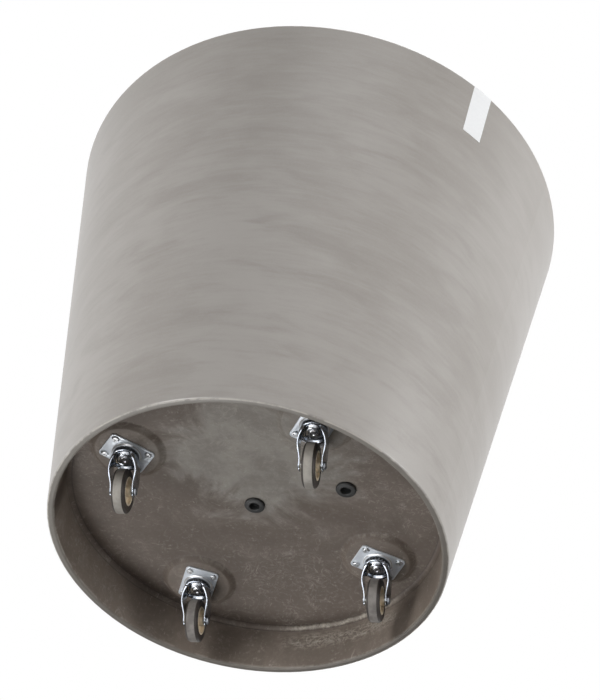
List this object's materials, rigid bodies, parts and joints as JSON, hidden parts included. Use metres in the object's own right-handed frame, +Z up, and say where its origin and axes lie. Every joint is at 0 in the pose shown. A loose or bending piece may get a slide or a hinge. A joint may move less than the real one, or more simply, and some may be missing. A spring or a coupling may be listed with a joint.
{
  "type": "rolling planter",
  "caption": "Tapered round floor planter with a recessed floor, drain plugs and swivel casters screwed to pads under the floor.",
  "frame": {"origin": "on the pot's axis, on the floor that the four wheels stand on", "axes": "+Z up along the pot's axis, +X through the side drain hole to within a few degrees, casters on the diagonals"},
  "size_m": [0.61, 0.6098, 0.5685],
  "materials": {
    "pot": "satin, stone-like moulded plastic",
    "plug": "black moulded rubber",
    "plate": "bright zinc-plated pressed steel",
    "fork": "bright zinc-plated bent steel sheet",
    "cup": "bright zinc-plated pressed steel",
    "kingpin": "riveted steel",
    "ball": "polished ball-bearing steel",
    "sleeve": "plain steel tube",
    "bolt": "zinc-plated steel",
    "screw": "zinc-plated steel",
    "hub": "tan moulded plastic",
    "tyre": "grey rubber, worn lighter on the tread"
  },
  "bodies": {
    "pot": {"pot_shell": "pot", "plate_screws": "screw", "caster_plate_1": "plate", "caster_plate_2": "plate", "caster_plate_3": "plate", "caster_plate_4": "plate", "kingpin_1": "kingpin", "kingpin_2": "kingpin", "kingpin_3": "kingpin", "kingpin_4": "kingpin", "race_cup_1": "cup", "race_cup_2": "cup", "race_cup_3": "cup", "race_cup_4": "cup"},
    "swivel_1": {"fork_1": "fork", "upper_balls_1": "ball", "lower_balls_1": "ball", "axle_sleeve_1": "sleeve", "axle_bolt_1": "bolt", "axle_nut_1": "bolt"},
    "wheel_1": {"wheel_hub_1": "hub", "tyre_1": "tyre"},
    "swivel_2": {"fork_2": "fork", "upper_balls_2": "ball", "lower_balls_2": "ball", "axle_sleeve_2": "sleeve", "axle_bolt_2": "bolt", "axle_nut_2": "bolt"},
    "wheel_2": {"wheel_hub_2": "hub", "tyre_2": "tyre"},
    "swivel_3": {"fork_3": "fork", "upper_balls_3": "ball", "lower_balls_3": "ball", "axle_sleeve_3": "sleeve", "axle_bolt_3": "bolt", "axle_nut_3": "bolt"},
    "wheel_3": {"wheel_hub_3": "hub", "tyre_3": "tyre"},
    "swivel_4": {"fork_4": "fork", "upper_balls_4": "ball", "lower_balls_4": "ball", "axle_sleeve_4": "sleeve", "axle_bolt_4": "bolt", "axle_nut_4": "bolt"},
    "wheel_4": {"wheel_hub_4": "hub", "tyre_4": "tyre"},
    "plug_centre": {"drain_plug_centre": "plug"},
    "plug_side": {"drain_plug_side": "plug"}
  },
  "joints": [
    {"name": "swivel_turn_1", "type": "hinge", "parent": "pot", "child": "swivel_1", "pos_m": [0.11102, 0.11102, 0.06], "axis": [0, 0, 1], "continuous": true},
    {"name": "wheel_spin_1", "type": "hinge", "parent": "swivel_1", "child": "wheel_1", "pos_m": [0.1071, 0.13114, 0.025], "axis": [0.9816, 0.1908, 0], "continuous": true},
    {"name": "swivel_turn_2", "type": "hinge", "parent": "pot", "child": "swivel_2", "pos_m": [-0.11102, 0.11102, 0.06], "axis": [0, 0, 1], "continuous": true},
    {"name": "wheel_spin_2", "type": "hinge", "parent": "swivel_2", "child": "wheel_2", "pos_m": [-0.11493, 0.13114, 0.025], "axis": [0.9816, 0.1908, 0], "continuous": true},
    {"name": "swivel_turn_3", "type": "hinge", "parent": "pot", "child": "swivel_3", "pos_m": [-0.11102, -0.11102, 0.06], "axis": [0, 0, 1], "continuous": true},
    {"name": "wheel_spin_3", "type": "hinge", "parent": "swivel_3", "child": "wheel_3", "pos_m": [-0.11563, -0.09104, 0.025], "axis": [0.9744, 0.225, 0], "continuous": true},
    {"name": "swivel_turn_4", "type": "hinge", "parent": "pot", "child": "swivel_4", "pos_m": [0.11102, -0.11102, 0.06], "axis": [0, 0, 1], "continuous": true},
    {"name": "wheel_spin_4", "type": "hinge", "parent": "swivel_4", "child": "wheel_4", "pos_m": [0.10606, -0.09112, 0.025], "axis": [0.9703, 0.2419, 0], "continuous": true},
    {"name": "plug_pull_centre", "type": "slide", "parent": "pot", "child": "plug_centre", "axis": [0, 0, -1], "range_m": [0, 0.03]},
    {"name": "plug_pull_side", "type": "slide", "parent": "pot", "child": "plug_side", "axis": [0, 0, -1], "range_m": [0, 0.03]}
  ]
}
